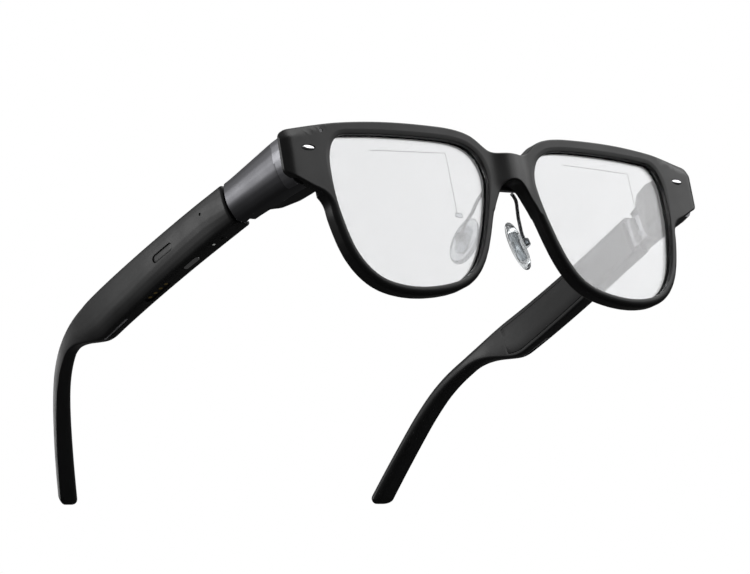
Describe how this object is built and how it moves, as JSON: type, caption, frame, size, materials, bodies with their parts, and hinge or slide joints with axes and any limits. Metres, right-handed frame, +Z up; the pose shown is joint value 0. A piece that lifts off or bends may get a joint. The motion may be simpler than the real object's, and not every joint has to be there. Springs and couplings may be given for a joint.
{
  "type": "smart glasses",
  "caption": "Wide black display glasses with clear lenses, metal hinge sleeves, hollow folding temples holding the electronics, and nose pads on wire arms.",
  "frame": {"origin": "on the table under the middle of the open glasses: X midway between the temples, Y midway from the front to the tips, Z at the table", "axes": "+Z up; the wearer looks along -Y, so the front faces -Y and the temples run to +Y; the wearer's right is -X"},
  "size_m": [0.1602, 0.1589, 0.0489],
  "materials": {
    "frame_black": "satin gloss moulded nylon",
    "temple_black": "satin soft-touch paint",
    "sleeve_metal": "dark grey satin anodised",
    "lens": "clear polished with a faint grey tint",
    "waveguide": "clear polished",
    "rivet": "polished",
    "steel": "brushed stainless",
    "dark_steel": "dark plated",
    "pad_silicone": "clear silicone",
    "pad_socket": "clear polycarbonate with a steel pin",
    "cell_foil": "foil pouch",
    "board": "solder mask",
    "mesh_black": "woven mesh",
    "module_black": "matt moulded",
    "button_metal": "bead blasted",
    "contact_gold": "gold plated",
    "light_pipe": "milky diffuser",
    "sensor_glass": "smoked window"
  },
  "bodies": {
    "front": {"front_frame": "frame_black", "lens_right": "lens", "lens_left": "lens", "waveguide_right": "waveguide", "waveguide_left": "waveguide", "rear_rim_right": "frame_black", "rear_rim_left": "frame_black", "rivet_right": "rivet", "rivet_left": "rivet", "sensor_window": "sensor_glass", "nose_bar": "dark_steel", "pad_arm_right": "steel", "pad_arm_left": "steel", "sleeve_right": "sleeve_metal", "sleeve_left": "sleeve_metal", "light_engine_right": "module_black", "light_engine_left": "module_black", "engine_cover_right": "frame_black", "engine_cover_left": "frame_black", "hinge_bracket_right": "steel", "hinge_bracket_left": "steel", "hinge_pin_right": "steel", "hinge_pin_left": "steel"},
    "temple_right": {"temple_knuckle_right": "steel", "temple_shell_right": "temple_black", "inner_cover_right": "temple_black", "battery_right": "cell_foil", "main_board": "board", "speaker_right": "module_black", "speaker_grille_right": "mesh_black", "tip_core_right": "steel", "contact_block": "temple_black", "contact_pins": "contact_gold", "status_light": "light_pipe", "microphones": "mesh_black"},
    "temple_left": {"temple_knuckle_left": "steel", "temple_shell_left": "temple_black", "inner_cover_left": "temple_black", "battery_left": "cell_foil", "radio_board": "board", "speaker_left": "module_black", "speaker_grille_left": "mesh_black", "tip_core_left": "steel"},
    "nose_pad_right": {"pad_core_right": "pad_socket", "nose_pad_right": "pad_silicone"},
    "nose_pad_left": {"pad_core_left": "pad_socket", "nose_pad_left": "pad_silicone"},
    "side_button": {"side_button": "temple_black"},
    "power_button": {"power_button": "button_metal"}
  },
  "joints": [
    {"name": "temple_right_fold", "type": "hinge", "parent": "front", "child": "temple_right", "pos_m": [-0.07142, -0.04898, 0.03605], "axis": [0, -0.0546, -0.9985], "range_deg": [-2, 88]},
    {"name": "temple_left_fold", "type": "hinge", "parent": "front", "child": "temple_left", "pos_m": [0.07142, -0.04898, 0.03605], "axis": [0, 0.0546, 0.9985], "range_deg": [-2, 76]},
    {"name": "nose_pad_right_rock", "type": "hinge", "parent": "front", "child": "nose_pad_right", "pos_m": [-0.01205, -0.06444, 0.02261], "axis": [-0.3291, 0.8514, 0.4084], "range_deg": [-8, 8]},
    {"name": "nose_pad_left_rock", "type": "hinge", "parent": "front", "child": "nose_pad_left", "pos_m": [0.01205, -0.06444, 0.02261], "axis": [-0.3291, -0.8514, -0.4084], "range_deg": [-8, 8]},
    {"name": "side_button_press", "type": "slide", "parent": "temple_right", "child": "side_button", "axis": [0.9976, 0.0697, -0.0038], "range_m": [0, 0.0002], "stiffness_N_per_m": 900},
    {"name": "power_button_press", "type": "slide", "parent": "temple_right", "child": "power_button", "axis": [0, 0.0546, 0.9985], "range_m": [0, 0.0003], "stiffness_N_per_m": 900}
  ]
}
